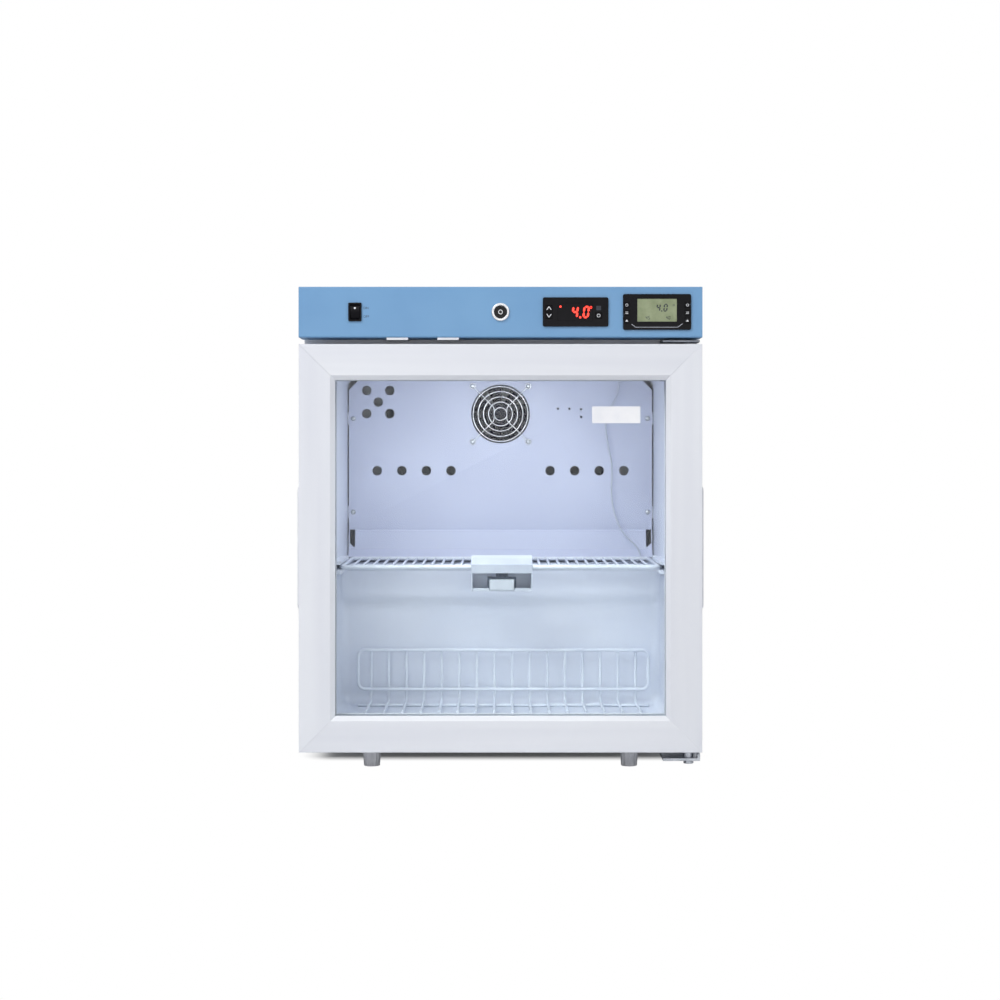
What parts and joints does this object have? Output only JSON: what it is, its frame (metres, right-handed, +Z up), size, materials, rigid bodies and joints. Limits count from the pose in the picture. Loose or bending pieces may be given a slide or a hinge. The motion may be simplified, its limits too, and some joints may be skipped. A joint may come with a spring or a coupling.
{
  "type": "medical refrigerator",
  "caption": "Compact countertop medical refrigerator with a hinged double-glazed door, a header with controls, a fan-cooled cabinet, a wire shelf and a floor rack",
  "frame": {"origin": "on the floor under the middle of the overall box", "axes": "+X to the viewer's right, +Y from the door to the back, +Z up"},
  "size_m": [0.46, 0.4999, 0.55],
  "materials": {
    "cabinet_paint": "smooth white powder coat",
    "header_paint": "satin light blue coat",
    "door_frame": "satin white extrusion",
    "liner": "smooth moulded plastic",
    "cover_sheet": "satin light grey-blue coat",
    "foam": "rigid foam",
    "glass": "clear float glass",
    "aluminium": "mill finish",
    "gasket": "matt soft extrusion",
    "steel": "zinc plated",
    "galvanised": "galvanised sheet",
    "coated_wire": "white epoxy coat",
    "chrome": "bright plating",
    "fan_plastic": "matt moulding",
    "lamp_lens": "milky lens",
    "bracket_paint": "satin coat",
    "white_plastic": "matt block",
    "dark_plastic": "matt moulding",
    "lead": "smooth sheath",
    "black_gloss": "gloss panel moulding",
    "display": "liquid crystal display",
    "foot_plastic": "moulded knob",
    "black_rubber": "moulded foot",
    "black_paint": "black enamel"
  },
  "bodies": {
    "cabinet": {"left_side_panel": "cabinet_paint", "right_side_panel": "cabinet_paint", "top_panel": "cabinet_paint", "rear_panel": "galvanised", "base_plate": "galvanised", "compressor_base": "galvanised", "insulation": "foam", "inner_liner": "liner", "shelf_guides": "liner", "evaporator_cover": "cover_sheet", "evaporator": "aluminium", "fan_housing": "fan_plastic", "fan_guard": "chrome", "interior_lamp": "lamp_lens", "wire_shelf": "coated_wire", "floor_rack": "coated_wire", "probe_bracket": "bracket_paint", "buffer_block": "white_plastic", "block_clip": "dark_plastic", "probe_lead": "lead", "cable_grommets": "black_rubber", "header_fascia": "header_paint", "switch_bezel": "black_gloss", "lock_barrel": "chrome", "controller_housing": "black_gloss", "monitor_housing": "black_gloss", "monitor_display": "display", "upper_hinge": "steel", "lower_hinge": "steel", "screws": "steel", "nuts": "steel", "rear_feet": "black_rubber", "compressor": "black_paint", "drip_tray": "dark_plastic", "condenser": "black_paint"},
    "door": {"door_top_rail": "door_frame", "door_bottom_rail": "door_frame", "door_hinge_stile": "door_frame", "door_grip_stile": "door_frame", "outer_glass": "glass", "inner_glass": "glass", "glass_spacer": "aluminium", "door_gasket": "gasket", "door_grips": "white_plastic", "hinge_bushes": "white_plastic"},
    "lock": {"lock_plug": "chrome", "lock_cam": "steel"},
    "rocker": {"switch_rocker": "black_gloss"},
    "fan": {"fan_rotor": "fan_plastic"},
    "left_foot": {"left_front_foot": "foot_plastic"},
    "right_foot": {"right_front_foot": "foot_plastic"},
    "up_key_body": {"up_key": "black_gloss"},
    "down_key_body": {"down_key": "black_gloss"},
    "set_key_body": {"set_key": "black_gloss"},
    "monitor_key_left_upper_body": {"monitor_key_left_upper": "black_gloss"},
    "monitor_key_left_middle_body": {"monitor_key_left_middle": "black_gloss"},
    "monitor_key_left_lower_body": {"monitor_key_left_lower": "black_gloss"},
    "monitor_key_right_upper_body": {"monitor_key_right_upper": "black_gloss"},
    "monitor_key_right_middle_body": {"monitor_key_right_middle": "black_gloss"},
    "monitor_key_right_lower_body": {"monitor_key_right_lower": "black_gloss"}
  },
  "joints": [
    {"name": "door_hinge", "type": "hinge", "parent": "cabinet", "child": "door", "pos_m": [0.214, -0.2275, 0.2547], "axis": [0, 0, 1], "range_deg": [0, 120]},
    {"name": "lock_turn", "type": "hinge", "parent": "cabinet", "child": "lock", "pos_m": [0, -0.2275, 0.5213], "axis": [0, -1, 0], "range_deg": [0, 90]},
    {"name": "switch_rock", "type": "hinge", "parent": "cabinet", "child": "rocker", "pos_m": [-0.1643, -0.2452, 0.5213], "axis": [-1, 0, 0], "range_deg": [0, 22]},
    {"name": "fan_spin", "type": "hinge", "parent": "cabinet", "child": "fan", "pos_m": [0, 0.084, 0.4119], "axis": [0, 1, 0], "continuous": true},
    {"name": "left_foot_turn", "type": "hinge", "parent": "cabinet", "child": "left_foot", "pos_m": [-0.149, -0.185, 0.013], "axis": [0, 0, 1], "continuous": true},
    {"name": "right_foot_turn", "type": "hinge", "parent": "cabinet", "child": "right_foot", "pos_m": [0.149, -0.185, 0.013], "axis": [0, 0, 1], "continuous": true},
    {"name": "up_key_press", "type": "slide", "parent": "cabinet", "child": "up_key_body", "axis": [0, 1, 0], "range_m": [0, 0.0006], "stiffness_N_per_m": 400, "springref_m": -0.0005},
    {"name": "down_key_press", "type": "slide", "parent": "cabinet", "child": "down_key_body", "axis": [0, 1, 0], "range_m": [0, 0.0006], "stiffness_N_per_m": 400, "springref_m": -0.0005},
    {"name": "set_key_press", "type": "slide", "parent": "cabinet", "child": "set_key_body", "axis": [0, 1, 0], "range_m": [0, 0.0006], "stiffness_N_per_m": 400, "springref_m": -0.0005},
    {"name": "monitor_key_left_upper_press", "type": "slide", "parent": "cabinet", "child": "monitor_key_left_upper_body", "axis": [0, 1, 0], "range_m": [0, 0.0006], "stiffness_N_per_m": 400, "springref_m": -0.0005},
    {"name": "monitor_key_left_middle_press", "type": "slide", "parent": "cabinet", "child": "monitor_key_left_middle_body", "axis": [0, 1, 0], "range_m": [0, 0.0006], "stiffness_N_per_m": 400, "springref_m": -0.0005},
    {"name": "monitor_key_left_lower_press", "type": "slide", "parent": "cabinet", "child": "monitor_key_left_lower_body", "axis": [0, 1, 0], "range_m": [0, 0.0006], "stiffness_N_per_m": 400, "springref_m": -0.0005},
    {"name": "monitor_key_right_upper_press", "type": "slide", "parent": "cabinet", "child": "monitor_key_right_upper_body", "axis": [0, 1, 0], "range_m": [0, 0.0006], "stiffness_N_per_m": 400, "springref_m": -0.0005},
    {"name": "monitor_key_right_middle_press", "type": "slide", "parent": "cabinet", "child": "monitor_key_right_middle_body", "axis": [0, 1, 0], "range_m": [0, 0.0006], "stiffness_N_per_m": 400, "springref_m": -0.0005},
    {"name": "monitor_key_right_lower_press", "type": "slide", "parent": "cabinet", "child": "monitor_key_right_lower_body", "axis": [0, 1, 0], "range_m": [0, 0.0006], "stiffness_N_per_m": 400, "springref_m": -0.0005}
  ]
}
